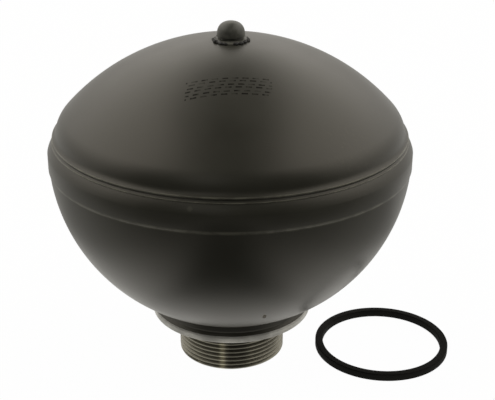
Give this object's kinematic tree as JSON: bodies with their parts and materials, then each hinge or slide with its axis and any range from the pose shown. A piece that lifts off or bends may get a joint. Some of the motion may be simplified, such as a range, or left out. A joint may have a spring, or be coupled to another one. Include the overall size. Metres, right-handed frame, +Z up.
{
  "type": "suspension accumulator",
  "caption": "Welded steel suspension sphere with threaded neck, inner diaphragm, damper valve in the neck and a loose square-section seal ring beside it.",
  "frame": {"origin": "centre of the neck's end face, on the axis, where the sphere stands", "axes": "+Z up the axis of revolution from the neck to the filling plug; +X towards the loose seal ring"},
  "size_m": [0.1309, 0.1146, 0.1123],
  "materials": {
    "shell_paint": "satin dark olive grey paint",
    "plug_paint": "satin dark paint over the resistance welded plug",
    "neck_steel": "dark bare turned steel",
    "turned_steel": "turned steel",
    "spring_steel": "ground and blued spring steel",
    "sintered_steel": "fine machined steel",
    "gasket_brass": "annealed copper alloy",
    "diaphragm_rubber": "moulded elastomer",
    "seal_rubber": "smooth black rubber",
    "button_plastic": "moulded plastic"
  },
  "bodies": {
    "housing": {"upper_shell": "shell_paint", "lower_shell": "shell_paint", "neck_boss": "neck_steel", "filling_plug": "plug_paint", "clamp_ring": "turned_steel", "diaphragm": "diaphragm_rubber", "damper_body": "sintered_steel", "damper_axle": "turned_steel", "damper_circlip": "spring_steel", "damper_gasket": "gasket_brass", "compression_shim_1": "spring_steel", "compression_shim_2": "spring_steel", "compression_shim_3": "spring_steel", "rebound_shim_1": "spring_steel", "rebound_shim_2": "spring_steel", "rebound_shim_3": "spring_steel", "compression_spacer": "turned_steel", "rebound_spacer": "turned_steel", "compression_stop": "turned_steel", "rebound_stop": "turned_steel", "sealing_ring": "seal_rubber"},
    "button": {"diaphragm_button": "button_plastic"}
  },
  "joints": [
    {"name": "diaphragm_stroke", "type": "slide", "parent": "housing", "child": "button", "axis": [0, 0, 1], "range_m": [0, 0.038], "stiffness_N_per_m": 20, "springref_m": -0.005, "deforming": ["diaphragm"]}
  ]
}
